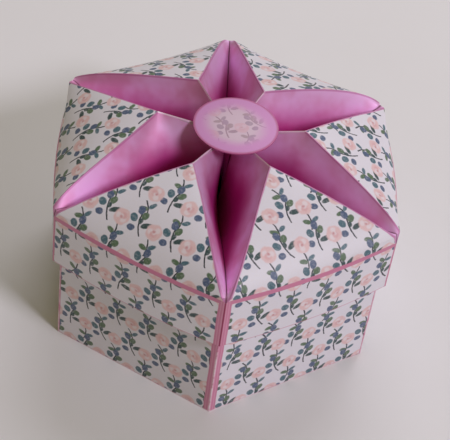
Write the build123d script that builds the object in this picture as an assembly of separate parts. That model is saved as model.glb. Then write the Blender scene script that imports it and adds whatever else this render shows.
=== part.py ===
from build123d import *
from math import cos, radians, sin, tan
import os

# Hexagonal card gift box: a straight-walled base and a lid folded from one sheet.
# Z = 0 is the surface that the box stands on, Z runs up through the middle of the hexagon,
# and one corner points to -Y. All sizes are in millimetres.

# Card
card_thickness = 0.4
side_count = 6

# Base box
base_side = 45.0
base_height = 42.2
base_tab_width = 9.0
base_tab_taper = 3.0
base_tab_gap = 1.0

# Lid skirt
skirt_gap = 1.33
skirt_height = 14.6
wall_bow = 1.5
lid_tab_width = 11.0
lid_tab_gap = 1.0
lid_tab_angle = 120
rim_clearance = 0.15

# Lid roof, with heights measured up from the fold between skirt and roof
apex_radius = 17.9
apex_height = 13.7
ridge_end_radius = 2.5
ridge_end_height = 11.0
pleat_end_radius = 6.0
pleat_depth = 11.6

# Side fold of a pleat: where the card stands up at the corner, and where it leans over
stand_inset = 1.8
stand_height = 8.0
stand_spread = 3.6
lean_inset = 17.0
lean_height = 9.3
lean_spread = 4.6

# Middle line of a roof panel
panel_stand_inset = 3.2
panel_stand_height = 5.6
panel_lean_inset = 11.7
panel_lean_height = 10.3

# Valley fold of a pleat, and the share of it at which the bend from the apex comes down
valley_stand_inset = 1.5
valley_stand_height = 4.0
valley_lean_inset = 22.0
valley_lean_depth = 4.0
bend_share = 0.72

# Centre disc
disc_radius = 10.4
glue_line = 0.02

# Values that follow from the sizes above
sector = 360 / side_count
first_panel = -90 + sector / 2
base_radius = base_side / 2 / sin(radians(sector / 2))
base_apothem = base_radius * cos(radians(sector / 2))
lid_apothem = base_apothem + skirt_gap + card_thickness
lid_radius = lid_apothem / cos(radians(sector / 2))

# Curved faces: control points along an edge, straight strips along a fold, and how close to an
# edge a normal is measured
net_points = 4
fold_strips = 10
throat_strips = 4
edge_margin = 0.001


def at(radius, angle, height=0.0):
    """Point at a radius and an angle about the middle of the box."""
    return Vector(radius, 0, height).rotate(Axis.Z, angle)


def beside_corner(inset, spread, height):
    """Point near the corner on the left of a panel: inset along the corner's own radius."""
    return Vector(lid_radius - inset, -spread, height).rotate(Axis.Z, sector / 2)


def mirrored(point):
    """Image of a point across the middle of its panel."""
    return Vector(point.X, -point.Y, point.Z)


def across_corner(point):
    """Image of a point across the corner on the left of its panel."""
    return mirrored(point).rotate(Axis.Z, sector)


def shares():
    """Even shares from 0 to 1, one for each control point of an edge."""
    return [step / (net_points - 1) for step in range(net_points)]


def evenly(start, end):
    """Control points of a straight edge."""
    return [start * (1 - share) + end * share for share in shares()]


def split(points, share):
    """Control points of a curve's two parts, before and after a share of its way."""
    before, after = [points[0]], [points[-1]]
    while len(points) > 1:
        points = [first * (1 - share) + second * share for first, second in zip(points, points[1:])]
        before.append(points[0])
        after.insert(0, points[-1])
    return before, after


def facing(face, down, along, outward):
    """Normal of the card's outer side, at a share of the way down and along its net."""
    down = min(max(down, edge_margin), 1 - edge_margin)
    along = min(max(along, edge_margin), 1 - edge_margin)
    normal = face.normal_at(down, along)
    return normal if normal.dot(outward) > 0 else -normal


def under(*normals):
    """Shift to the point that lies one card thickness under every face given."""
    if len(normals) == 1:
        return normals[0] * -card_thickness
    if len(normals) == 2:
        a, b = normals
        return (a + b) * (-card_thickness / (1 + a.dot(b)))
    a, b, c = normals
    return (a.cross(b) + b.cross(c) + c.cross(a)) * (-card_thickness / a.dot(b.cross(c)))


def point_on(points, share):
    """Point at a share of the way along a curve, from its control points."""
    return split(points, share)[0][-1]


def lowered(row, height):
    """The same points, all at one height."""
    return [Vector(point.X, point.Y, height) for point in row]


def panel_net(side, middle):
    """Control points of a panel with the given side fold and middle line."""
    net = []
    for edge, on_middle in zip(side, middle):
        other_edge = mirrored(edge)
        net.append([other_edge, on_middle * 2 - (edge + other_edge) / 2, edge])
    return net


def columns(net):
    """The net's columns, each one the control points of a curve along the side fold."""
    return [list(column) for column in zip(*net)]


def patch(net):
    """Curved face from rows of control points."""
    return Face.make_bezier_surface(net)


def flat(*points):
    """Flat face with straight edges."""
    return Face(Wire.make_polygon(points))


def strips(curves, count):
    """Narrow faces, one after another along curves that run side by side."""
    rows = [[point_on(curve, step / count) for curve in curves] for step in range(count + 1)]
    return [patch([row, next_row]) for row, next_row in zip(rows, rows[1:])]


def facets(first, second, count):
    """Flat three-sided faces, one after another between two curves that may start at one point."""
    near, far = [[point_on(curve, step / count) for step in range(count + 1)] for curve in (first, second)]
    faces = []
    for step in range(count):
        faces.append(flat(near[step], far[step + 1], near[step + 1]))
        if near[step] != far[step]:
            faces.append(flat(near[step], far[step], far[step + 1]))
    return faces


def both_sides(first, second, count):
    """Facets and their images across the middle of the panel."""
    images = [[mirrored(point) for point in curve] for curve in (first, second)]
    return facets(first, second, count) + facets(*images, count)


# Outer side of one sector of the lid: a panel on +X with half a pleat on each side
corner = at(lid_radius, sector / 2)
apex = at(apex_radius, 0, apex_height)
ridge_end = at(ridge_end_radius, 0, ridge_end_height)
pleat_end = at(pleat_end_radius, sector / 2, -pleat_depth)
side_fold = [
    corner,
    beside_corner(stand_inset, stand_spread, stand_height),
    beside_corner(lean_inset, lean_spread, lean_height),
    apex,
]
valley_fold = [
    corner,
    beside_corner(valley_stand_inset, 0, valley_stand_height),
    beside_corner(valley_lean_inset, 0, -valley_lean_depth),
    pleat_end,
]
bowed_apothem = lid_apothem + wall_bow
panel_middle = [
    at(bowed_apothem, 0),
    at(bowed_apothem - panel_stand_inset, 0, panel_stand_height),
    at(bowed_apothem - panel_lean_inset, 0, panel_lean_height),
    apex,
]
outer_panel = panel_net(side_fold, panel_middle)
outer_skirt = [outer_panel[0], lowered(outer_panel[0], -skirt_height)]
outer_valley, inward_valley = split(valley_fold, bend_share)
ridge = evenly(apex, ridge_end)
outer_pleat = [side_fold, outer_valley]
outer_throat = [ridge, inward_valley]

# Which way the card faces along its folds
panel_face = patch(outer_panel)
skirt_face = patch(outer_skirt)
pleat_face = patch(outer_pleat)
throat_face = patch(outer_throat)
up = Vector(0, 0, 1)
into_pleat = at(1, sector / 2 + 90) + up
panel_side = [facing(panel_face, share, 1, up) for share in shares()]
panel_mid = [facing(panel_face, share, 0.5, up) for share in shares()]
pleat_side = [facing(pleat_face, 0, share, into_pleat) for share in shares()]
pleat_valley = [facing(pleat_face, 1, share, into_pleat) for share in shares()]
throat_valley = [facing(throat_face, 1, share, into_pleat) for share in shares()]
throat_end = facing(throat_face, 0, 1, into_pleat)
skirt_corner = facing(skirt_face, 0, 1, at(1, 0))
skirt_mid = facing(skirt_face, 0, 0.5, at(1, 0))

# Inner side of the same sector, one card thickness under the outer side
inner_side_fold = [
    corner + under(skirt_corner, panel_side[0], pleat_side[0]),
    side_fold[1] + under(panel_side[1], pleat_side[1]),
    side_fold[2] + under(panel_side[2], pleat_side[2]),
    apex + under(panel_mid[3], pleat_side[3], mirrored(pleat_side[3])),
]
inner_valley = [point + under(normal) for point, normal in zip(outer_valley, pleat_valley)]
inner_valley[0] = inner_side_fold[0]
inner_inward_valley = [point + under(normal) for point, normal in zip(inward_valley, throat_valley)]
inner_inward_valley[0] = inner_valley[3]
inner_panel_middle = [
    panel_middle[0] + under(skirt_mid, panel_mid[0]),
    panel_middle[1] + under(panel_mid[1]),
    panel_middle[2] + under(panel_mid[2]),
    inner_side_fold[3],
]
inner_corner = inner_side_fold[0]
inner_ridge = evenly(inner_side_fold[3], ridge_end + under(throat_end, mirrored(throat_end)))
inner_pleat_cut = [inner_inward_valley[3], inner_ridge[3]]
inner_panel = panel_net(inner_side_fold, inner_panel_middle)
inner_skirt = [inner_panel[0], lowered(inner_panel[0], -skirt_height)]
inner_pleat = [inner_side_fold, inner_valley]
inner_throat = [inner_ridge, inner_inward_valley]

# Narrow faces: inside the folds, at the cut ends of the pleats and along the hem
corner_edge = [inner_corner, across_corner(inner_corner)]
hem_corner, *hem_edge = lowered([corner] + corner_edge, -skirt_height)
next_valley = [across_corner(point) for point in inner_valley]
next_inward_valley = [across_corner(point) for point in inner_inward_valley]
outer_pleat_cut = [pleat_end, ridge_end]
sector_faces = [
    skirt_face,
    patch(inner_skirt),
    *strips(columns(outer_panel), fold_strips),
    *strips(columns(inner_panel), fold_strips),
    *both_sides(*outer_pleat, fold_strips),
    *both_sides(*inner_pleat, fold_strips),
    *both_sides(*outer_throat, throat_strips),
    *both_sides(*inner_throat, throat_strips),
    *both_sides(outer_pleat_cut, inner_pleat_cut, 1),
    *facets(inner_valley, next_valley, fold_strips),
    *facets(inner_inward_valley, next_inward_valley, throat_strips),
    flat(*corner_edge, *reversed(hem_edge)),
    flat(pleat_end, inner_pleat_cut[0], across_corner(inner_pleat_cut[0])),
    patch([outer_skirt[1], inner_skirt[1]]),
    flat(hem_corner, *hem_edge),
]
panel_angles = [first_panel + sector * count for count in range(side_count)]
lid_faces = [face.rotate(Axis.Z, angle) for angle in panel_angles for face in sector_faces]
folded_sheet = Solid(Shell(lid_faces))

# Glue tab inside one wall of the skirt, where the two ends of the strip meet
wall_line = Edge.make_bezier(*inner_skirt[1])
tab_share = lid_tab_width / wall_line.length
tab_line = wall_line.trim(1 - tab_share, 1)
tab_into_wall = tab_line.translate((card_thickness / 2, 0, 0))
tab_face_line = tab_line.translate((-card_thickness, 0, 0))
tab_outline = Wire([
    tab_into_wall,
    Line(tab_into_wall @ 1, tab_face_line @ 1),
    tab_face_line,
    Line(tab_into_wall @ 0, tab_face_line @ 0),
])
tab_height = skirt_height - 2 * lid_tab_gap
lid_tab = extrude(Face(tab_outline), tab_height, dir=(0, 0, 1)).translate((0, 0, lid_tab_gap))
lid_tab = lid_tab.rotate(Axis.Z, lid_tab_angle)
lid_sheet = folded_sheet + lid_tab

# The lid rests with its valley folds over the corners of the base
rim_corner = Plane(at(base_radius, sector / 2), z_dir=at(1, sector / 2))
valley_underside = Edge.make_bezier(*inner_valley)
fold_height = base_height + rim_clearance - valley_underside.intersect(rim_corner)[0].Z
lid = lid_sheet.translate((0, 0, fold_height))

# Disc glued on the ridge folds
ridge_slope = (apex_height - ridge_end_height) / (apex_radius - ridge_end_radius)
disc_seat = apex_height - (apex_radius - disc_radius) * ridge_slope
centre_disc = Pos(0, 0, fold_height + disc_seat + glue_line) * Cylinder(
    disc_radius, card_thickness, align=(Align.CENTER, Align.CENTER, Align.MIN)
)

# Base: six walls and a floor, with a glue tab behind each corner
inner_apothem = base_apothem - card_thickness
inner_reach = inner_apothem * tan(radians(sector / 2))
first_corner = first_panel + sector / 2
outside = RegularPolygon(base_apothem, side_count, major_radius=False, rotation=first_corner)
inside = RegularPolygon(inner_apothem, side_count, major_radius=False, rotation=first_corner)
walls = extrude(outside, base_height) - extrude(inside, base_height)
floor = extrude(inside, card_thickness)
wall_plane = Plane((inner_apothem, 0, 0), x_dir=(0, -1, 0), z_dir=(-1, 0, 0))
tab_low = card_thickness + base_tab_gap
tab_high = base_height - base_tab_gap
base_tab_shape = Polygon(
    (-inner_reach, tab_low),
    (base_tab_width - inner_reach, tab_low + base_tab_taper),
    (base_tab_width - inner_reach, tab_high - base_tab_taper),
    (-inner_reach, tab_high),
    align=None,
)
base_tab = extrude(wall_plane * base_tab_shape, card_thickness)
base_box = walls + floor + [base_tab.rotate(Axis.Z, angle) for angle in panel_angles]

os.makedirs("parts", exist_ok=True)
export_step(lid, "parts/lid.step")
export_step(centre_disc, "parts/centre_disc.step")
export_step(base_box, "parts/base_box.step")
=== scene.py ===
import bpy
import math
from mathutils import Matrix, Vector
from mathutils.kdtree import KDTree


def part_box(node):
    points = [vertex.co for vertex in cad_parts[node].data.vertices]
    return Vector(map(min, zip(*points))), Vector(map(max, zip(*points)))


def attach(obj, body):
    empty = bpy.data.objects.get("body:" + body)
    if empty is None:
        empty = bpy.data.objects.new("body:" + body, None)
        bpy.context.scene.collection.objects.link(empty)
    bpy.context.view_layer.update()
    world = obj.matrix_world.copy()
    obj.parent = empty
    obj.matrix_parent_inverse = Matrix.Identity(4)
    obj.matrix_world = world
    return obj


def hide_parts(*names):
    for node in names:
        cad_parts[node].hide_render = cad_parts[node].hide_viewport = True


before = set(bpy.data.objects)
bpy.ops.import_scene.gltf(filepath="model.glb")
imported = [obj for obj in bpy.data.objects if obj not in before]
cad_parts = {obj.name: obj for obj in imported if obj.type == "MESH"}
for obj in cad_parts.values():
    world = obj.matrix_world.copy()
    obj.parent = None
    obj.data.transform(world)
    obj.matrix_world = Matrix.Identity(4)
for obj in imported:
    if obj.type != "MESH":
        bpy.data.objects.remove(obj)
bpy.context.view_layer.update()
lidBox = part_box("lid")
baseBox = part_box("base_box")
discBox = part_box("centre_disc")

mm = 0.001
wallCount = 6
wallTurn = 2 * math.pi / wallCount
# walls are counted anticlockwise from the one right of the front corner
firstWall = -math.pi / 2 + wallTurn / 2

scene = bpy.context.scene
scene.view_settings.view_transform = "Standard"


# the camera stands where the photograph was taken from

cameraSetup = {
    "target": Vector((0.52, -9.99, 31.81)) * mm,
    "azimuth": math.radians(-5.14),
    "elevation": math.radians(43.95),
    "roll": math.radians(8.1),
    "distance": 360 * mm,
    "focalPixels": 1454,
    "pictureWidth": 450,
    "sensorWidth": 36,
    "clipStart": 10 * mm,
}


def addCamera(setup):
    azimuth, elevation, roll = setup["azimuth"], setup["elevation"], setup["roll"]
    back = Vector((
        math.sin(azimuth) * math.cos(elevation),
        -math.cos(azimuth) * math.cos(elevation),
        math.sin(elevation),
    ))
    levelRight = (-back).cross(Vector((0, 0, 1))).normalized()
    levelUp = levelRight.cross(-back)
    right = levelRight * math.cos(roll) + levelUp * math.sin(roll)
    up = levelUp * math.cos(roll) - levelRight * math.sin(roll)
    bpy.ops.object.camera_add()
    camera = bpy.context.object
    camera.name = "photoCamera"
    camera.data.sensor_width = setup["sensorWidth"]
    camera.data.lens = setup["focalPixels"] / setup["pictureWidth"] * setup["sensorWidth"]
    camera.data.clip_start = setup["clipStart"]
    camera.matrix_world = Matrix.Translation(setup["target"] + back * setup["distance"]) @ Matrix(
        (right, up, back)
    ).transposed().to_4x4()
    scene.camera = camera


addCamera(cameraSetup)
print("camera placed")


# small helpers for node trees

def srgb(red, green, blue):
    # colour as seen on a screen, 0 to 255, to the linear values that sockets take
    channels = [value / 255 for value in (red, green, blue)]
    return tuple(c / 12.92 if c <= 0.04045 else ((c + 0.055) / 1.055) ** 2.4 for c in channels) + (1,)


def feed(tree, socket, value):
    if isinstance(value, bpy.types.NodeSocket):
        tree.links.new(value, socket)
    else:
        socket.default_value = value


def mathNode(tree, operation, first, second=0.0, third=0.0):
    node = tree.nodes.new("ShaderNodeMath")
    node.operation = operation
    for socket, value in zip(node.inputs, (first, second, third)):
        feed(tree, socket, value)
    return node.outputs[0]


def vectorNode(tree, operation, *values, output="Vector"):
    node = tree.nodes.new("ShaderNodeVectorMath")
    node.operation = operation
    for socket, value in zip(node.inputs, values):
        feed(tree, socket, value)
    return node.outputs[output]


def placed(tree, vector, spot, turn, reach):
    # coordinates seen from a spot, turned with it, in units of its reach
    node = tree.nodes.new("ShaderNodeMapping")
    node.vector_type = "TEXTURE"
    feed(tree, node.inputs["Vector"], vector)
    node.inputs["Location"].default_value = (spot[0], spot[1], 0)
    node.inputs["Rotation"].default_value = (0, 0, math.radians(turn))
    node.inputs["Scale"].default_value = (reach[0], reach[1], 1)
    return node.outputs[0]


def fade(tree, value, low, high, start=0.0, end=1.0):
    node = tree.nodes.new("ShaderNodeMapRange")
    node.interpolation_type = "SMOOTHSTEP"
    names = ("Value", "From Min", "From Max", "To Min", "To Max")
    for name, number in zip(names, (value, low, high, start, end)):
        feed(tree, node.inputs[name], number)
    return node.outputs[0]


def swing(tree, value, width):
    # a value from 0 to 1, made to swing evenly about 0 by a width
    return mathNode(tree, "MULTIPLY_ADD", value, width, -width / 2)


def mix(tree, amount, under, over):
    # sockets 6 and 7 are a mix node's two colours, and output 2 is its colour
    node = tree.nodes.new("ShaderNodeMix")
    node.data_type = "RGBA"
    feed(tree, node.inputs[0], amount)
    feed(tree, node.inputs[6], under)
    feed(tree, node.inputs[7], over)
    return node.outputs[2]


def noise(tree, vector, scale, detail=2.0, roughness=0.5, output="Fac"):
    node = tree.nodes.new("ShaderNodeTexNoise")
    feed(tree, node.inputs["Vector"], vector)
    node.inputs["Scale"].default_value = scale
    node.inputs["Detail"].default_value = detail
    node.inputs["Roughness"].default_value = roughness
    return node.outputs[output]


def acrossAndUp(tree, vector):
    node = tree.nodes.new("ShaderNodeSeparateXYZ")
    feed(tree, node.inputs[0], vector)
    return node.outputs[0], node.outputs[1]


def combined(tree, x, y, z=0.0):
    node = tree.nodes.new("ShaderNodeCombineXYZ")
    for socket, value in zip(node.inputs, (x, y, z)):
        feed(tree, socket, value)
    return node.outputs[0]


def inMillimetres(tree, vector):
    grown = vectorNode(tree, "SCALE", vector)
    grown.node.inputs["Scale"].default_value = 1 / mm
    return grown


def newGroup(name, inputs, outputs):
    group = bpy.data.node_groups.new(name, "ShaderNodeTree")
    for label, kind in inputs:
        group.interface.new_socket(label, in_out="INPUT", socket_type=kind)
    for label, kind in outputs:
        group.interface.new_socket(label, in_out="OUTPUT", socket_type=kind)
    return group, group.nodes.new("NodeGroupInput").outputs, group.nodes.new("NodeGroupOutput").inputs


def useGroup(tree, group, **values):
    node = tree.nodes.new("ShaderNodeGroup")
    node.node_tree = group
    for label, value in values.items():
        feed(tree, node.inputs[label], value)
    return node.outputs


# the flower print, in millimetres of flat card

printSheet = {
    # from one rose to the next in a row, and from row to row
    "cell": (8.8, 8.4),
    # how wide an ink's edge is, on leaves and on petals
    "softness": 0.12,
    "petalSoftness": 0.26,
    "petalStretch": 1.12,
    # how far the ink strays from a clean outline
    "wander": 0.36,
    "wanderNoise": (0.9, 2.0),
    # a wash over the ground, and thin places in the ink
    "washNoise": (1.6, 2.0),
    "washFade": (0.3, 0.8, 0.0, 0.5),
    "thinFade": (0.45, 0.75, 0.0, 0.22),
    "ground": srgb(233, 229, 240),
    "groundWash": srgb(232, 226, 232),
    # where a stem's ink fades: off its line, and at its ends as a share of its half length
    "stem": srgb(50, 54, 64),
    "stemFade": (0.24, 0.12),
    "stemEnd": (1.02, 0.98),
    "roseOuter": srgb(234, 198, 200),
    "roseMiddle": srgb(228, 182, 186),
    "roseHeart": srgb(212, 154, 160),
    "rosePale": srgb(238, 222, 228),
    "leafBlue": srgb(82, 114, 128),
    "leafSlate": srgb(86, 102, 134),
    "leafOlive": srgb(94, 118, 92),
    "leafDark": srgb(60, 82, 84),
    # petals: distance from the heart, bearing, size, ink
    "petals": [
        (0.90, 20, 1.12, "roseOuter"),
        (0.95, 95, 1.05, "roseOuter"),
        (0.90, 165, 1.15, "roseOuter"),
        (0.95, 238, 1.05, "roseOuter"),
        (0.86, 305, 1.15, "roseOuter"),
        (0.98, 60, 0.60, "rosePale"),
        (0.95, 200, 0.62, "rosePale"),
        (0.50, 290, 0.72, "roseMiddle"),
        (0.16, 40, 0.50, "rosePale"),
        (0.14, 120, 0.32, "roseHeart"),
    ],
    # a sprig's stem: half length and bend; its leaves: place, bearing, half width and half length, ink
    "sprigStem": (3.3, 0.7),
    "sprigLeaves": [
        ((-1.45, 1.05), 35, (0.90, 1.08), "leafBlue"),
        ((1.20, 1.65), -40, (0.80, 1.02), "leafOlive"),
        ((0.00, 2.95), 5, (0.86, 1.04), "leafSlate"),
        ((1.95, -0.60), -75, (0.62, 1.40), "leafDark"),
        ((-1.75, -1.40), 80, (0.78, 0.96), "leafSlate"),
        ((0.40, 0.30), -20, (0.55, 0.72), "leafDark"),
    ],
    # the small leaves below a rose, in the same way
    "twinStem": (2.0, -0.4),
    "twinLeaves": [
        ((-1.05, 0.00), 70, (0.58, 1.10), "leafOlive"),
        ((1.10, 0.35), -65, (0.52, 1.02), "leafBlue"),
    ],
    # each motif's place in its cell, and how far it may turn at random
    "roseSpot": (0.0, 0.0), "roseSway": 3.0,
    "sprigSpot": (4.4, 0.6), "sprigSway": 0.45,
    "twinSpot": (0.2, -3.9), "twinSway": 0.6,
}


def inkSpot(tree, vector, under, spot, turn, reach, ink, softness=printSheet["softness"]):
    # one soft-edged oval of ink
    local = placed(tree, vector, spot, turn, reach)
    distance = vectorNode(tree, "LENGTH", local, output="Value")
    soft = softness / min(reach)
    return mix(tree, fade(tree, distance, 1 + soft, 1 - soft), under, printSheet[ink])


def motifGroup(name):
    inputs = [("Vector", "NodeSocketVector"), ("Colour", "NodeSocketColor")]
    return newGroup(name, inputs, [("Colour", "NodeSocketColor")])


def rosePetalGroup():
    group, inside, outside = motifGroup("rosePetals")
    colour = inside["Colour"]
    for distance, bearing, size, ink in printSheet["petals"]:
        angle = math.radians(bearing)
        spot = (distance * math.cos(angle), distance * math.sin(angle))
        reach = (size, size * printSheet["petalStretch"])
        colour = inkSpot(
            group, inside["Vector"], colour, spot, bearing, reach, ink, printSheet["petalSoftness"])
    group.links.new(colour, outside["Colour"])
    return group


def leafGroup(name, leaves, stem):
    group, inside, outside = motifGroup(name)
    stemLength, stemBend = stem
    across, up = acrossAndUp(group, inside["Vector"])
    along = mathNode(group, "DIVIDE", up, stemLength)
    bend = mathNode(group, "MULTIPLY", mathNode(group, "MULTIPLY", along, along), stemBend)
    offset = mathNode(group, "ABSOLUTE", mathNode(group, "SUBTRACT", across, bend))
    within = fade(group, mathNode(group, "ABSOLUTE", along), *printSheet["stemEnd"])
    line = mathNode(group, "MULTIPLY", fade(group, offset, *printSheet["stemFade"]), within)
    colour = mix(group, line, inside["Colour"], printSheet["stem"])
    for spot, bearing, reach, ink in leaves:
        colour = inkSpot(group, inside["Vector"], colour, spot, bearing, reach, ink)
    group.links.new(colour, outside["Colour"])
    return group


def cellSpace(tree, card, spot, sway):
    # coordinates about the nearest spot of a staggered lattice, turned a little differently at each
    width, height = printSheet["cell"]
    across, up = acrossAndUp(tree, card)
    up = mathNode(tree, "SUBTRACT", up, spot[1])
    row = mathNode(tree, "FLOOR", mathNode(tree, "MULTIPLY_ADD", up, 1 / height, 0.5))
    rowStart = mathNode(tree, "MULTIPLY_ADD", row, width / 2, spot[0])
    across = mathNode(tree, "SUBTRACT", across, rowStart)
    column = mathNode(tree, "FLOOR", mathNode(tree, "MULTIPLY_ADD", across, 1 / width, 0.5))
    local = combined(
        tree, mathNode(tree, "MULTIPLY_ADD", column, -width, across),
        mathNode(tree, "MULTIPLY_ADD", row, -height, up))
    chance = tree.nodes.new("ShaderNodeTexWhiteNoise")
    feed(tree, chance.inputs["Vector"], combined(tree, column, row, spot[1]))
    turn = tree.nodes.new("ShaderNodeVectorRotate")
    turn.rotation_type = "Z_AXIS"
    feed(tree, turn.inputs["Vector"], local)
    feed(tree, turn.inputs["Angle"], swing(tree, chance.outputs["Value"], 2 * sway))
    return turn.outputs[0]


def printGroup():
    group, inside, outside = newGroup(
        "flowerPrint", [("Vector", "NodeSocketVector")], [("Colour", "NodeSocketColor")])
    width = printSheet["wander"]
    wander = noise(group, inside["Vector"], *printSheet["wanderNoise"], output="Color")
    wander = vectorNode(group, "MULTIPLY_ADD", wander, (width,) * 3, (-width / 2,) * 3)
    card = vectorNode(group, "ADD", inside["Vector"], wander)
    wash = noise(group, inside["Vector"], *printSheet["washNoise"])
    washed = fade(group, wash, *printSheet["washFade"])
    ground = mix(group, washed, printSheet["ground"], printSheet["groundWash"])
    colour = ground
    for name, motif in (
        ("twin", leafGroup("twinLeaves", printSheet["twinLeaves"], printSheet["twinStem"])),
        ("sprig", leafGroup("leafSprig", printSheet["sprigLeaves"], printSheet["sprigStem"])),
        ("rose", rosePetalGroup()),
    ):
        local = cellSpace(group, card, printSheet[name + "Spot"], printSheet[name + "Sway"])
        colour = useGroup(group, motif, Vector=local, Colour=colour)["Colour"]
    colour = mix(group, fade(group, wash, *printSheet["thinFade"]), colour, ground)
    group.links.new(colour, outside["Colour"])
    return group


flowerPrint = printGroup()
print("print drawn")


# card materials

cardFinish = {
    "roughness": 0.46,
    # fibres and a slow swell in the card, for its bump
    "fibreNoise": (2200, 3.0, 0.6),
    "swellNoise": (90, 2.0),
    "swell": 3.0,
    "bump": 0.12,
    "bumpDepth": 0.05 * mm,
    # pink margins beside folds and edges: ink, and how wide each is
    "margin": srgb(210, 130, 164),
    "frontMargin": 1.65 * mm,
    "cornerMargin": 0.50 * mm,
    "foldMargin": 0.62 * mm,
    "hemMargin": 0.26 * mm,
    "hemInk": 0.55,
    "sideMargin": 0.30 * mm,
    "sideInk": srgb(206, 140, 184),
    "marginSoft": 0.12 * mm,
    # how unevenly the ink runs along a margin
    "strayNoise": (260,),
    "stray": 0.35 * mm,
    # pale scored lines in the front margin: pitch, shares of it where a line starts and is full, strength
    "scored": srgb(228, 168, 196),
    "scorePitch": 0.36 * mm,
    "scoreFade": (0.35, 0.85),
    "scoreInk": 0.55,
    "scoredBand": (1.3 * mm, 0.3 * mm),
    # painted shadow: the dark line down the lid's front corner, standing for the shade at a cut edge of the
    # card
    "seamShadow": srgb(150, 40, 84),
    "seamShadowWidth": 0.22 * mm,
    # folds rubbed bare in patches
    "worn": srgb(238, 214, 226),
    "wornBand": (0.27 * mm, 0.15 * mm),
    "wornNoise": (260, 3.0, 0.7),
    "wornFade": (0.30, 0.62),
    # the unprinted side
    "plain": srgb(226, 222, 220),
    "plainMottle": srgb(190, 182, 176),
    "plainNoise": (160, 3.0, 0.6),
    "plainShare": 0.10,
    "plainRoughness": 0.62,
}

pinkFinish = {
    "roughness": 0.58,
    "metallic": 0.5,
    "coat": 0.25,
    "coatRoughness": 0.5,
    "ink": srgb(240, 192, 238),
    # redder blotches
    "inkRed": srgb(220, 138, 184),
    "blotchNoise": (75, 3.0, 0.6),
    "blotchFade": (0.38, 0.68, 0.0, 0.8),
    # painted shade: a darker, deeper pink away from the side folds and ridges, deep in the pleat
    "paintedPleatShade": srgb(192, 26, 138),
    "pleatShadeFade": (2.5 * mm, 12 * mm, 0.0, 0.95),
    "strayNoise": (130, 2.0),
    "stray": 3 * mm,
    # painted shade: a darker line along each side fold, where the rounded fold turns from the light
    "fold": srgb(196, 108, 166),
    "foldShadeFade": (0.60 * mm, 0.25 * mm, 0.0, 0.6),
    # painted shade: a dark line along the bottom of each valley fold
    "creaseShade": srgb(104, 8, 48),
    "creaseBand": (0.22 * mm, 0.18 * mm),
    "creaseStray": 0.08,
    "creaseShadeStrength": 0.75,
    # ridges rubbed bare in patches; their pale colour is also a painted highlight along the rounded ridge
    "worn": srgb(254, 230, 248),
    "wornBand": (0.34 * mm, 0.16 * mm),
    "wornNoise": (420, 3.0, 0.7),
    "wornFade": (0.25, 0.45),
}


def newMaterial(name, roughness):
    material = bpy.data.materials.new(name)
    material.use_nodes = True
    tree = material.node_tree
    shader = tree.nodes["Principled BSDF"]
    shader.inputs["Roughness"].default_value = roughness
    return material, tree, shader


def attribute(tree, name):
    node = tree.nodes.new("ShaderNodeAttribute")
    node.attribute_name = name
    return node.outputs["Fac"]


def objectPoint(tree):
    return tree.nodes.new("ShaderNodeTexCoord").outputs["Object"]


def fibreBump(tree, shader, point):
    fibres = noise(tree, point, *cardFinish["fibreNoise"])
    swell = noise(tree, point, *cardFinish["swellNoise"])
    height = mathNode(tree, "MULTIPLY_ADD", swell, cardFinish["swell"], fibres)
    bump = tree.nodes.new("ShaderNodeBump")
    bump.inputs["Strength"].default_value = cardFinish["bump"]
    bump.inputs["Distance"].default_value = cardFinish["bumpDepth"]
    tree.links.new(height, bump.inputs["Height"])
    tree.links.new(bump.outputs[0], shader.inputs["Normal"])


def band(tree, gap, width, soft=cardFinish["marginSoft"]):
    # full within a distance of a line, and soft at its edge
    return fade(tree, gap, width + soft, width - soft)


def wornAway(tree, point, gap, finish):
    # where a fold is rubbed bare
    patchy = fade(tree, noise(tree, point, *finish["wornNoise"]), *finish["wornFade"])
    return mathNode(tree, "MULTIPLY", band(tree, gap, *finish["wornBand"]), patchy)


def marginColour(tree, frontGap, stray):
    # margin ink, with pale scored lines along the front corner
    pitch = cardFinish["scorePitch"]
    start, full = (pitch * share for share in cardFinish["scoreFade"])
    score = mathNode(tree, "PINGPONG", mathNode(tree, "ADD", frontGap, stray), pitch)
    pale = fade(tree, score, start, full, 0.0, cardFinish["scoreInk"])
    pale = mathNode(tree, "MULTIPLY", pale, band(tree, frontGap, *cardFinish["scoredBand"]))
    return mix(tree, pale, cardFinish["margin"], cardFinish["scored"])


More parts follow.
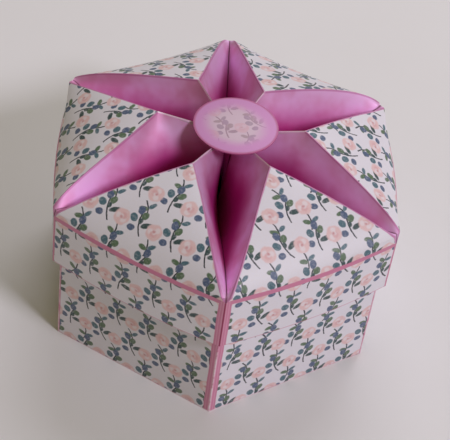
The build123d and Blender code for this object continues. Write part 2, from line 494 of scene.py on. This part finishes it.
def printedCard(name, wallWidth, foldLine, hem, top, onLid):
    # card with the flower print, and pink margins beside its folds and edges
    material, tree, shader = newMaterial(name, cardFinish["roughness"])
    coords = tree.nodes.new("ShaderNodeUVMap")
    coords.uv_map = "flatCard"
    flat = coords.outputs[0]
    across, up = acrossAndUp(tree, flat)
    point = objectPoint(tree)
    frontGap = attribute(tree, "frontGap")
    stray = swing(tree, noise(tree, point, *cardFinish["strayNoise"]), cardFinish["stray"])

    def inked(gap, width):
        return band(tree, mathNode(tree, "ADD", gap, stray), width)

    colour = useGroup(tree, flowerPrint, Vector=inMillimetres(tree, flat))["Colour"]
    if onLid:
        side = inked(attribute(tree, "sideGap"), cardFinish["sideMargin"])
        colour = mix(tree, side, colour, cardFinish["sideInk"])

    # corners and the front edge are inked up to the top, fold and hem all round
    corners = inked(mathNode(tree, "PINGPONG", across, wallWidth / 2), cardFinish["cornerMargin"])
    ink = mathNode(tree, "MAXIMUM", corners, inked(frontGap, cardFinish["frontMargin"]))
    if top is not None:
        ink = mathNode(tree, "MULTIPLY", ink, mathNode(tree, "LESS_THAN", up, top))
    for line, width, strength in (
        (hem, cardFinish["hemMargin"], cardFinish["hemInk"]),
        (foldLine, cardFinish["foldMargin"], 1),
    ):
        if line is not None:
            gap = mathNode(tree, "ABSOLUTE", mathNode(tree, "SUBTRACT", up, line))
            strip = mathNode(tree, "MULTIPLY", inked(gap, width), strength)
            ink = mathNode(tree, "MAXIMUM", ink, strip)
    colour = mix(tree, ink, colour, marginColour(tree, frontGap, stray))

    worn = wornAway(tree, point, attribute(tree, "foldGap"), cardFinish)
    colour = mix(tree, worn, colour, cardFinish["worn"])
    # painted shadow: a dark line down the lid's front corner
    if onLid:
        colour = mix(tree, band(tree, frontGap, cardFinish["seamShadowWidth"]), colour, cardFinish["seamShadow"])
    tree.links.new(colour, shader.inputs["Base Color"])
    fibreBump(tree, shader, point)
    return material


def pinkCard(name):
    # ink laid on thickly, with a satin shine; painted shade darkens it deep in the pleats, towards the
    # valley folds
    finish = pinkFinish
    material, tree, shader = newMaterial(name, finish["roughness"])
    shader.inputs["Metallic"].default_value = finish["metallic"]
    shader.inputs["Coat Weight"].default_value = finish["coat"]
    shader.inputs["Coat Roughness"].default_value = finish["coatRoughness"]
    point = objectPoint(tree)
    blotch = fade(tree, noise(tree, point, *finish["blotchNoise"]), *finish["blotchFade"])
    colour = mix(tree, blotch, finish["ink"], finish["inkRed"])
    side, ridge = attribute(tree, "sideGap"), attribute(tree, "foldGap")
    stray = swing(tree, noise(tree, point, *finish["strayNoise"]), finish["stray"])
    # painted shade: the pink darkens with distance from the side folds and ridges
    depth = mathNode(tree, "ADD", mathNode(tree, "MINIMUM", side, ridge), stray)
    colour = mix(tree, fade(tree, depth, *finish["pleatShadeFade"]), colour, finish["paintedPleatShade"])
    # painted shade: a darker line along each side fold
    colour = mix(tree, fade(tree, side, *finish["foldShadeFade"]), colour, finish["fold"])
    # painted shade along the bottom of each valley fold
    creaseStray = mathNode(tree, "MULTIPLY", stray, finish["creaseStray"])
    creaseGap = mathNode(tree, "ADD", attribute(tree, "valleyGap"), creaseStray)
    creaseShade = mathNode(tree, "MULTIPLY", band(tree, creaseGap, *finish["creaseBand"]), finish["creaseShadeStrength"])
    colour = mix(tree, creaseShade, colour, finish["creaseShade"])
    # worn ridges, pale also as a painted highlight along each rounded ridge
    colour = mix(tree, wornAway(tree, point, ridge, finish), colour, finish["worn"])
    tree.links.new(colour, shader.inputs["Base Color"])
    fibreBump(tree, shader, point)
    return material


def plainCard(name):
    # the unprinted side of the card
    material, tree, shader = newMaterial(name, cardFinish["plainRoughness"])
    point = objectPoint(tree)
    mottle = noise(tree, point, *cardFinish["plainNoise"])
    share = mathNode(tree, "MULTIPLY", mottle, cardFinish["plainShare"])
    colour = mix(tree, share, cardFinish["plain"], cardFinish["plainMottle"])
    tree.links.new(colour, shader.inputs["Base Color"])
    fibreBump(tree, shader, point)
    return material


# modelling helpers

weldDistance = 0.005 * mm
gapSpacing = 0.08 * mm


def clearSelection():
    if bpy.context.object and bpy.context.object.mode != "OBJECT":
        bpy.ops.object.mode_set(mode="OBJECT")
    bpy.ops.object.select_all(action="DESELECT")


def selectOnly(*pieces):
    clearSelection()
    for piece in pieces:
        piece.select_set(True)
    bpy.context.view_layer.objects.active = pieces[0]


def around(x, y, z, angle):
    # a point turned about the middle of the box
    cosine, sine = math.cos(angle), math.sin(angle)
    return Vector((x * cosine - y * sine, x * sine + y * cosine, z))


def bezier(points, share):
    # the point at a share of a curve, from its control points
    while len(points) > 1:
        points = [first.lerp(second, share) for first, second in zip(points, points[1:])]
    return points[0]


def gridShares(steps, hold):
    # even shares from 0 to 1, with a narrow first and last row that keeps a fold crisp
    inner = [hold + (1 - 2 * hold) * step / (steps - 2) for step in range(steps - 1)]
    return [0.0] + inner + [1.0]


def patchGrid(name, place, across, up, flatPoint, materials, slot):
    # a grid laid over a curved patch: place gives the point, flatPoint its place on the flat card
    stepsAcross, stepsUp = len(across) - 1, len(up) - 1
    clearSelection()
    bpy.ops.mesh.primitive_grid_add(x_subdivisions=stepsAcross, y_subdivisions=stepsUp, size=2)
    piece = bpy.context.object
    piece.name = name
    for material in materials:
        piece.data.materials.append(material)
    mesh = piece.data
    cells = []
    for vertex in mesh.vertices:
        column = round((vertex.co.x + 1) / 2 * stepsAcross)
        row = round((vertex.co.y + 1) / 2 * stepsUp)
        cells.append((column, row))
        vertex.co = place(across[column], up[row])
    layer = mesh.uv_layers.active or mesh.uv_layers.new()
    layer.name = "flatCard"
    flat = flatPoint(across, up)
    for loop in mesh.loops:
        layer.data[loop.index].uv = flat[cells[loop.vertex_index]]
    for face in mesh.polygons:
        face.material_index = slot
    return piece


def joined(pieces, name):
    selectOnly(*pieces)
    bpy.ops.object.join()
    whole = bpy.context.object
    whole.name = whole.data.name = name
    return whole


def welded(pieces, name):
    # patches joined to one sheet along the edges that they share
    sheet = joined(pieces, name)
    bpy.ops.object.mode_set(mode="EDIT")
    bpy.ops.mesh.select_all(action="SELECT")
    bpy.ops.mesh.remove_doubles(threshold=weldDistance)
    bpy.ops.mesh.normals_make_consistent(inside=False)
    bpy.ops.object.mode_set(mode="OBJECT")
    return sheet


def thicken(piece, thickness, slotStep):
    # the sheet grows inwards; inner faces and cut edges take a slot so many steps past the face's own
    selectOnly(piece)
    solidify = piece.modifiers.new("cardThickness", "SOLIDIFY")
    solidify.thickness = thickness
    solidify.offset = -1
    solidify.use_even_offset = True
    solidify.thickness_clamp = 1.2
    solidify.use_thickness_angle_clamp = True
    solidify.material_offset = slotStep
    solidify.material_offset_rim = slotStep
    bpy.ops.object.modifier_apply(modifier=solidify.name)


def storeGap(mesh, name, lines):
    # how far each point of the mesh lies from the nearest of some lines
    dots = []
    for line in lines:
        for start, end in zip(line, line[1:]):
            count = max(1, math.ceil((end - start).length / gapSpacing))
            dots += [start.lerp(end, step / count) for step in range(count)]
        dots.append(line[-1])
    tree = KDTree(len(dots))
    for index, dot in enumerate(dots):
        tree.insert(dot, index)
    tree.balance()
    layer = mesh.attributes.new(name, "FLOAT", "POINT")
    for vertex in mesh.vertices:
        layer.data[vertex.index].value = tree.find(vertex.co)[2]


# lid: one folded sheet

lidCard = {
    "thickness": 0.4 * mm,
    "skirtHeight": 14.6 * mm,
    "apexRadius": 17.9 * mm,
    "apexHeight": 13.7 * mm,
    "ridgeEndRadius": 2.5 * mm,
    "ridgeEndHeight": 11.0 * mm,
    "pleatEndRadius": 4.0 * mm,
    "pleatDepth": 11.6 * mm,
    # the card's inner side is inked too, this close to the middle
    "inkedThroat": 7.0 * mm,
    # glue tab inside one wall of the skirt: wall, shares across it and up it, and how far it is pressed in
    "tabWall": 3,
    "tabAcross": (0.766, 0.988),
    "tabUp": (0.068, 0.932),
    "tabSink": 0.02 * mm,
    "tabSteps": 8,
    # side fold of a pleat: it stands up at the corner as far as a knee, then leans in to the apex; for each
    # corner from the front, in millimetres: inset from the corner, spread to the side, height over the fold
    "knees": [
        (0.25, 1.0, 1.6),
        (0.3, 1.3, 3.0),
        (1.3, 1.3, 4.3),
        (0.4, 1.3, 3.0),
        (0.3, 1.3, 3.7),
        (0.25, 1.1, 2.2),
    ],
    "kneeAt": 0.1,
    # how full each fold stands on the two sides of a corner: share of the spread and of the height
    "fullness": [
        ((1, 1), (1, 1)),
        ((1, 1), (1, 1.1)),
        ((1.1, 1.3), (1, 1)),
        ((0.9, 1), (0.55, 0.95)),
        ((1, 1), (1, 1.15)),
        ((1, 1), (1, 1)),
    ],
    # between the knee and the apex: inset from the corner, spread to the side, height over the fold
    "lean": [(5.5 * mm, 3.3 * mm, 6.4 * mm), (18.0 * mm, 5.3 * mm, 9.9 * mm)],
    # middle line of a panel: inset from the bowed wall and height
    "panelStand": (3.2 * mm, 5.6 * mm),
    "panelLean": (11.7 * mm, 10.3 * mm),
    # valley fold: how far its knee sits behind the side folds', then inset from the corner and height
    "valleyKnee": 0.3 * mm,
    "valleyLean": [(4.0 * mm, 1.8 * mm), (22.0 * mm, -4.0 * mm)],
    # hand folding: how far each valley's inner end strays sideways, corner by corner, and how far each apex
    # sits outwards and along its wall, wall by wall, in millimetres
    "valleyStray": [-2.0, 0.4, -0.3, 0.2, 0.5, 0.3],
    "apexShift": [(-0.8, 0.3), (-0.4, -1.0), (-3.2, -0.4), (-0.6, -0.1), (0.2, -1.7), (0.3, -0.2)],
    # the bend that comes down from the apex: where it meets the valley fold, and where it lies in the grid
    "bendShare": 0.72,
    "bendAt": 0.7,
    # how far the bend is softened, how soon below the fold, and how near to it
    "bendSoft": 0.13,
    "bendGrowth": 3,
    "bendReach": 0.28,
    "bendSamples": (-1, -0.5, 0, 0.5, 1),
    "kneeSteps": 5,
    "foldSteps": 26,
    "acrossSteps": 26,
    "throatSteps": 10,
    "depthSteps": 16,
    "skirtSteps": 12,
    "lineSteps": 60,
    "hold": 0.012,
    "smoothAngle": math.radians(50),
}


def sideFold(card, corner, side, toCorner, fold, apex):
    # from the corner up to the knee, then in to the apex
    radius = lidBox[1].y
    inset, spread, height = (value * mm for value in card["knees"][corner])
    lean = [around(radius - inset, -side * spread, fold + height, toCorner)]
    wider, taller = card["fullness"][corner][(1 + side) // 2]
    for inset, spread, height in card["lean"]:
        lean.append(around(radius - inset, -side * spread * wider, fold + height * taller, toCorner))
        wider, taller = (wider + 1) / 2, (taller + 1) / 2
    return [around(radius, 0, fold, toCorner), lean[0]], lean + [apex]


def valleyFold(card, corner, toCorner, fold):
    # from the corner up to the knee, then down to its end under the disc
    radius = lidBox[1].y
    kneeInset, kneeHeight = card["knees"][corner][0] * mm, card["knees"][corner][2] * mm
    valley = [around(radius - kneeInset - card["valleyKnee"], 0, fold + kneeHeight, toCorner)]
    for inset, height in card["valleyLean"]:
        valley.append(around(radius - inset, 0, fold + height, toCorner))
    stray = card["valleyStray"][corner] * mm
    valley.append(around(card["pleatEndRadius"], stray, fold - card["pleatDepth"], toCorner))
    return [around(radius, 0, fold, toCorner), valley[0]], valley


def lidGeometry(card):
    # the folds about each wall's roof panel; side -1 is its left corner seen from outside, and 1 its right
    low, high = lidBox
    bowedApothem = high.x
    fold = low.z + card["skirtHeight"]
    shapes = []
    for wall in range(wallCount):
        angle = firstWall + wall * wallTurn
        outwards, along = card["apexShift"][wall]
        apex = around(card["apexRadius"] + outwards * mm, along * mm, fold + card["apexHeight"], angle)
        sideFolds, valleys = {}, {}
        for side in (-1, 1):
            toCorner = angle + side * wallTurn / 2
            corner = (wall + (side + 1) // 2) % wallCount
            sideFolds[side] = sideFold(card, corner, side, toCorner, fold, apex)
            valleys[side] = valleyFold(card, corner, toCorner, fold)
        middle = [around(bowedApothem, 0, fold, angle)]
        for inset, height in (card["panelStand"], card["panelLean"]):
            middle.append(around(bowedApothem - inset, 0, fold + height, angle))
        shapes.append({
            "angle": angle,
            "apex": apex,
            "ridgeEnd": around(card["ridgeEndRadius"], 0, fold + card["ridgeEndHeight"], angle),
            "sideFolds": sideFolds,
            "valleys": valleys,
            "middle": middle + [apex],
        })
    return shapes


def alongFold(fold, share, kneeAt):
    # a fold in two parts, with a sharp turn between them
    first, second = fold
    if share <= kneeAt:
        return bezier(first, share / kneeAt)
    return bezier(second, (share - kneeAt) / (1 - kneeAt))


def panelPlace(shape, card):
    def place(across, up):
        left, right = (alongFold(shape["sideFolds"][side], up, card["kneeAt"]) for side in (-1, 1))
        middle = bezier(shape["middle"], up)
        return bezier([left, middle * 2 - (left + right) / 2, right], across)

    return place


def skirtPlace(shape, card):
    top, height = panelPlace(shape, card), card["skirtHeight"]

    def place(across, up):
        point = top(across, 0)
        return Vector((point.x, point.y, point.z - height * (1 - up)))

    return place


def pleatPlace(shape, side, card):
    # half a pleat: from the corner to the bend under the side fold, then in to the middle under the ridge
    fold, valley = shape["sideFolds"][side], shape["valleys"][side]
    kneeAt, bendAt, bendShare = card["kneeAt"], card["bendAt"], card["bendShare"]

    def ruled(along, down):
        # a straight line across the facet, from its upper fold to the valley
        share = along / bendAt
        if share <= kneeAt:
            top, low = alongFold(fold, share, kneeAt), alongFold(valley, share, kneeAt)
        elif along <= bendAt:
            top = alongFold(fold, share, kneeAt)
            low = alongFold(valley, kneeAt + (share - kneeAt) * bendShare, kneeAt)
        else:
            inwards = (along - bendAt) / (1 - bendAt)
            top = shape["apex"].lerp(shape["ridgeEnd"], inwards)
            low = bezier(valley[1], bendShare + (1 - bendShare) * inwards)
        return top.lerp(low, down)

    def place(along, down):
        # the bend is crisp at the fold and softer lower down
        near = max(0, 1 - abs(along - bendAt) / card["bendReach"])
        reach = card["bendSoft"] * min(1, card["bendGrowth"] * down) * near
        total = Vector()
        for step in card["bendSamples"]:
            total += ruled(along + step * reach, down)
        return total / len(card["bendSamples"])

    return place


def flatFrom(place, angle, wall, wallWidth, startUp):
    # unrolls a patch: across the wall as it is, up the wall by the length of the card
    def flatPoint(acrossShares, upShares):
        flat = {}
        for column, across in enumerate(acrossShares):
            length = startUp
            before = None
            for row, up in enumerate(upShares):
                point = place(across, up)
                local = around(point.x, point.y, point.z, -angle)
                if before is not None:
                    length += math.hypot(local.x - before.x, local.z - before.z)
                before = local
                flat[(column, row)] = (wall * wallWidth + wallWidth / 2 + local.y, length)
        return flat

    return flatPoint


def lidTab(card, shape, wallWidth, materials):
    # the glue tab follows the bowed inner face of its wall
    skirt = skirtPlace(shape, card)
    (start, end), (low, high) = card["tabAcross"], card["tabUp"]
    inset = card["thickness"] - card["tabSink"]
    beside = 0.01

    def place(across, up):
        share, level = start + (end - start) * across, low + (high - low) * up
        along = skirt(share + beside, level) - skirt(share - beside, level)
        inwards = Vector((-along.y, along.x, 0)).normalized()
        return skirt(share, level) + inwards * inset

    shares = [step / card["tabSteps"] for step in range(card["tabSteps"] + 1)]
    flat = flatFrom(place, shape["angle"], card["tabWall"], wallWidth, 0)
    tab = welded([patchGrid("tab", place, shares, shares, flat, materials, 2)], "tab")
    thicken(tab, card["thickness"], 0)
    return tab


def lidPatches(card, shapes, wallWidth, materials):
    hold, kneeAt, bendAt = card["hold"], card["kneeAt"], card["bendAt"]
    across = gridShares(card["acrossSteps"], hold)
    up = [kneeAt * share for share in gridShares(card["kneeSteps"], 4 * hold)]
    up += [kneeAt + (1 - kneeAt) * share for share in gridShares(card["foldSteps"], hold)[1:]]
    skirtUp = gridShares(card["skirtSteps"], 2 * hold)
    down = gridShares(card["depthSteps"], hold)
    throat = [step / card["throatSteps"] for step in range(1, card["throatSteps"] + 1)]
    along = [bendAt * share for share in up] + [bendAt + (1 - bendAt) * share for share in throat]
    pieces = []

    def addPatch(name, wall, place, acrossShares, upShares, startUp, slot):
        flat = flatFrom(place, shapes[wall]["angle"], wall, wallWidth, startUp)
        pieces.append(patchGrid(name, place, acrossShares, upShares, flat, materials, slot))

    for wall, shape in enumerate(shapes):
        addPatch("panel", wall, panelPlace(shape, card), across, up, 0, 0)
        addPatch("skirt", wall, skirtPlace(shape, card), across, skirtUp, -card["skirtHeight"], 0)
        for side in (-1, 1):
            addPatch("pleat", wall, pleatPlace(shape, side, card), along, down, 0, 1)
    return pieces


def storeLidGaps(mesh, card, shapes):
    # distances from the folds, which the card's materials read
    steps = [step / card["lineSteps"] for step in range(card["lineSteps"] + 1)]
    sideLines, valleyLines = [], []
    for shape in shapes:
        pleat = pleatPlace(shape, -1, card)
        valleyLines.append([pleat(step, 1) for step in steps])
        for side in (-1, 1):
            sideLines.append([alongFold(shape["sideFolds"][side], step, card["kneeAt"]) for step in steps])
    frontCorner = shapes[0]["sideFolds"][-1][0][0]
    storeGap(mesh, "valleyGap", valleyLines)
    storeGap(mesh, "sideGap", sideLines)
    storeGap(mesh, "foldGap", [[shape["apex"], shape["ridgeEnd"]] for shape in shapes])
    storeGap(mesh, "frontGap", [[frontCorner, frontCorner - Vector((0, 0, card["skirtHeight"]))]])


def buildLid(card):
    shapes = lidGeometry(card)
    # a hexagon's side is as long as its radius
    wallWidth = lidBox[1].y
    # thicken turns slot 0 into 2 and slot 1 into 3 on the inner side
    materials = [
        printedCard("lidPrint", wallWidth, foldLine=0.0, hem=-card["skirtHeight"], top=0.0, onLid=True),
        pinkCard("pleatPink"),
        plainCard("lidInside"),
        plainCard("pleatInside"),
    ]
    lid = welded(lidPatches(card, shapes, wallWidth, materials), "lidSheet")
    storeLidGaps(lid.data, card, shapes)
    thicken(lid, card["thickness"], 2)
    for face in lid.data.polygons:
        if face.material_index == 3 and math.hypot(face.center.x, face.center.y) < card["inkedThroat"]:
            face.material_index = 1
    lid = joined([lid, lidTab(card, shapes[card["tabWall"]], wallWidth, materials)], "lidSheet")
    selectOnly(lid)
    bpy.ops.object.shade_smooth_by_angle(angle=card["smoothAngle"])
    return lid


lidSheet = buildLid(lidCard)
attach(lidSheet, "lid")
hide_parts("lid")
print("lid folded")


# centre disc

discCard = {
    "edgeSteps": 128,
    "bevel": 0.08 * mm,
    "bevelSteps": 2,
    "smoothAngle": math.radians(40),
    # glued a little off the middle, and a little higher than on the solid
    "shift": Vector((0.8, -0.1, 0.14)) * mm,
    # where the print lies on the disc, in millimetres and degrees, and its scale
    "printSpot": (2.2, -0.9),
    "printTurn": 25,
    "printScale": (0.9, 0.9),
    # a tint over the print, then a ragged ring and the rim, each from one share of the radius to another
    "tint": srgb(201, 155, 180),
    "tintShare": 0.66,
    "ring": srgb(212, 143, 202),
    "ringFade": (0.42, 0.82),
    "ringNoise": (160, 3.0),
    "ringStray": 3 * mm,
    "rim": srgb(190, 98, 150),
    "rimFade": (0.925, 0.985),
}


def discMaterial(card, radius):
    material, tree, shader = newMaterial("discPrint", cardFinish["roughness"])
    point = objectPoint(tree)
    shifted = placed(
        tree, inMillimetres(tree, point), card["printSpot"], card["printTurn"], card["printScale"])
    colour = useGroup(tree, flowerPrint, Vector=shifted)["Colour"]
    colour = mix(tree, card["tintShare"], colour, card["tint"])
    fromMiddle = vectorNode(tree, "SUBTRACT", point, (card["shift"].x, card["shift"].y, 0))
    level = vectorNode(tree, "MULTIPLY", fromMiddle, (1, 1, 0))
    distance = vectorNode(tree, "LENGTH", level, output="Value")
    stray = swing(tree, noise(tree, point, *card["ringNoise"]), card["ringStray"])
    ragged = mathNode(tree, "ADD", distance, stray)
    for gap, share, ink in (
        (ragged, card["ringFade"], card["ring"]),
        (distance, card["rimFade"], card["rim"]),
    ):
        colour = mix(tree, fade(tree, gap, radius * share[0], radius * share[1]), colour, ink)
    tree.links.new(colour, shader.inputs["Base Color"])
    fibreBump(tree, shader, point)
    return material


def buildDisc(card):
    low, high = discBox
    radius = high.x
    middle = Vector((0, 0, (low.z + high.z) / 2)) + card["shift"]
    clearSelection()
    bpy.ops.mesh.primitive_cylinder_add(
        vertices=card["edgeSteps"], radius=radius, depth=high.z - low.z, end_fill_type="NGON",
        location=middle)
    disc = bpy.context.object
    disc.name = disc.data.name = "centreDisc"
    bpy.ops.object.transform_apply(location=True, rotation=True, scale=True)
    bevel = disc.modifiers.new("softEdge", "BEVEL")
    bevel.width = card["bevel"]
    bevel.segments = card["bevelSteps"]
    bevel.limit_method = "ANGLE"
    bpy.ops.object.modifier_apply(modifier=bevel.name)
    bpy.ops.object.shade_smooth_by_angle(angle=card["smoothAngle"])
    disc.data.materials.append(discMaterial(card, radius))
    return disc


centreDisc = buildDisc(discCard)
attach(centreDisc, "lid")
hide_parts("centre_disc")
print("disc made")


# base box: one folded sheet

baseCard = {
    "thickness": 0.4 * mm,
    "steps": (24, 20),
    "hold": 0.012,
    "tabWidth": 9.0 * mm,
    "tabTaper": 3.0 * mm,
    "tabGap": 1.0 * mm,
    "tabSink": 0.02 * mm,
    "smoothAngle": math.radians(30),
}


def wallLine(radius, angle):
    return [around(radius, 0, 0, angle + side * wallTurn / 2) for side in (-1, 1)]


def wallPlace(radius, angle, low, high):
    start, end = wallLine(radius, angle)

    def place(across, up):
        return start.lerp(end, across) + Vector((0, 0, low + (high - low) * up))

    return place


def glueTab(angle, face, alongSpan, upSpan, taper, thickness, material):
    # a flat tab on the inner face of a wall; its free edge is cut narrower
    alongMiddle, upMiddle = sum(alongSpan) / 2, sum(upSpan) / 2
    length, height = alongSpan[1] - alongSpan[0], upSpan[1] - upSpan[0]
    clearSelection()
    bpy.ops.mesh.primitive_cube_add(size=1)
    tab = bpy.context.object
    tab.name = "tab"
    tab.data.materials.append(material)
    bpy.ops.object.mode_set(mode="EDIT")
    bpy.ops.mesh.select_all(action="SELECT")
    bpy.ops.transform.resize(value=(thickness, length, height))
    bpy.ops.transform.translate(value=(face - thickness / 2, alongMiddle, upMiddle))
    bpy.ops.mesh.select_all(action="DESELECT")
    bpy.ops.object.mode_set(mode="OBJECT")
    for vertex in tab.data.vertices:
        vertex.select = vertex.co.y > alongMiddle
    bpy.ops.object.mode_set(mode="EDIT")
    freeEdge = (height - 2 * taper) / height
    bpy.ops.transform.resize(value=(1, 1, freeEdge), center_override=(0, 0, upMiddle))
    bpy.ops.mesh.select_all(action="SELECT")
    bpy.ops.transform.rotate(value=angle, orient_axis="Z", center_override=(0, 0, 0))
    bpy.ops.object.mode_set(mode="OBJECT")
    return tab


def closeFloor(base, level):
    # the floor closes the lowest edge all round
    bpy.ops.object.mode_set(mode="EDIT")
    bpy.ops.mesh.select_mode(type="EDGE")
    bpy.ops.mesh.select_all(action="DESELECT")
    bpy.ops.object.mode_set(mode="OBJECT")
    for edge in base.data.edges:
        edge.select = all(base.data.vertices[index].co.z < level + weldDistance for index in edge.vertices)
    bpy.ops.object.mode_set(mode="EDIT")
    bpy.ops.mesh.edge_face_add()
    bpy.ops.mesh.select_all(action="SELECT")
    bpy.ops.mesh.normals_make_consistent(inside=False)
    bpy.ops.object.mode_set(mode="OBJECT")
    for face in base.data.polygons:
        if abs(face.normal.z) > 0.9:    # the walls stand upright, so what lies level is the floor
            face.material_index = 1


def buildBase(card):
    low, high = baseBox
    radius = high.y
    wallWidth = radius
    angles = [firstWall + wall * wallTurn for wall in range(wallCount)]
    # thicken turns slot 0 into 2 and slot 1 into 3 on the inner side
    materials = [
        printedCard("basePrint", wallWidth, foldLine=None, hem=0.0, top=None, onLid=False),
        plainCard("baseFloor"),
        plainCard("baseInside"),
        plainCard("baseInsideFloor"),
    ]
    across, up = (gridShares(steps, card["hold"]) for steps in card["steps"])
    pieces = []
    for wall, angle in enumerate(angles):
        place = wallPlace(radius, angle, low.z, high.z)
        flat = flatFrom(place, angle, wall, wallWidth, 0)
        pieces.append(patchGrid("wall", place, across, up, flat, materials, 0))
    base = welded(pieces, "baseBox")
    closeFloor(base, low.z)
    uprights = [
        [around(radius, 0, height, angle + wallTurn / 2) for height in (low.z, high.z)] for angle in angles]
    storeGap(base.data, "foldGap", [wallLine(radius, angle) for angle in angles] + uprights)
    storeGap(base.data, "frontGap", [[Vector((0, -radius, height)) for height in (low.z, high.z)]])
    thicken(base, card["thickness"], 2)
    face = high.x - card["thickness"]
    reach = face * math.tan(wallTurn / 2)
    alongSpan = (-reach, card["tabWidth"] - reach)
    upSpan = (low.z + card["thickness"] + card["tabGap"], high.z - card["tabGap"])
    tabs = [
        glueTab(
            angle, face + card["tabSink"], alongSpan, upSpan, card["tabTaper"], card["thickness"],
            materials[2])
        for angle in angles
    ]
    base = joined([base] + tabs, "baseBox")
    bpy.ops.object.shade_smooth_by_angle(angle=card["smoothAngle"])
    return base


baseBoxSheet = buildBase(baseCard)
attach(baseBoxSheet, "base")
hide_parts("base_box")
print("base folded")


# table and light

studio = {
    "tableSize": 2.4,
    # the table lies a hair below the box, whose underside would else share its plane
    "tableDrop": 0.02 * mm,
    "tableColour": srgb(236, 234, 236),
    "tableMottle": srgb(224, 221, 220),
    "tableNoise": (30, 4.0, 0.6),
    "tableShare": 0.30,
    "tableRoughness": 0.7,
    # lamps: bearing, height, distance, size, power, colour
    "key": (math.radians(-42), math.radians(42), 1.6, 0.36, 11.0, (1.0, 0.965, 1.10)),
    "window": (math.radians(75), math.radians(48), 1.0, 0.75, 3.9, (1.0, 0.98, 1.09)),
    "ambient": 0.17,
    "ambientColour": (1.0, 0.88, 0.42, 1),
    # what the camera sees past the table
    "backdrop": 1.0,
    "backdropColour": srgb(238, 234, 228),
}


def addTable(setup):
    clearSelection()
    bpy.ops.mesh.primitive_plane_add(size=setup["tableSize"], location=(0, 0, -setup["tableDrop"]))
    table = bpy.context.object
    table.name = "tableTop"
    material, tree, shader = newMaterial("tablePaint", setup["tableRoughness"])
    mottle = noise(tree, objectPoint(tree), *setup["tableNoise"])
    share = mathNode(tree, "MULTIPLY", mottle, setup["tableShare"])
    colour = mix(tree, share, setup["tableColour"], setup["tableMottle"])
    tree.links.new(colour, shader.inputs["Base Color"])
    table.data.materials.append(material)


def addLamp(name, bearing, height, distance, size, power, colour):
    direction = Vector((
        math.cos(bearing) * math.cos(height), math.sin(bearing) * math.cos(height), math.sin(height)))
    bpy.ops.object.light_add(type="AREA", location=direction * distance)
    lamp = bpy.context.object
    lamp.name = name
    lamp.rotation_mode = "QUATERNION"
    lamp.rotation_quaternion = direction.to_track_quat("Z", "Y")
    lamp.data.shape = "DISK"
    lamp.data.size = size
    lamp.data.energy = power
    lamp.data.color = colour


def addWorld(setup):
    world = bpy.data.worlds.new("roomLight")
    world.use_nodes = True
    scene.world = world
    tree = world.node_tree
    ambient = tree.nodes["Background"]
    seen = tree.nodes.new("ShaderNodeBackground")
    for node, name in ((ambient, "ambient"), (seen, "backdrop")):
        node.inputs["Color"].default_value = setup[name + "Colour"]
        node.inputs["Strength"].default_value = setup[name]
    rays = tree.nodes.new("ShaderNodeLightPath")
    blend = tree.nodes.new("ShaderNodeMixShader")
    tree.links.new(rays.outputs["Is Camera Ray"], blend.inputs[0])
    tree.links.new(ambient.outputs[0], blend.inputs[1])
    tree.links.new(seen.outputs[0], blend.inputs[2])
    tree.links.new(blend.outputs[0], tree.nodes["World Output"].inputs["Surface"])


addTable(studio)
addLamp("keyLight", *studio["key"])
addLamp("windowLight", *studio["window"])
addWorld(studio)
print("table and light set")
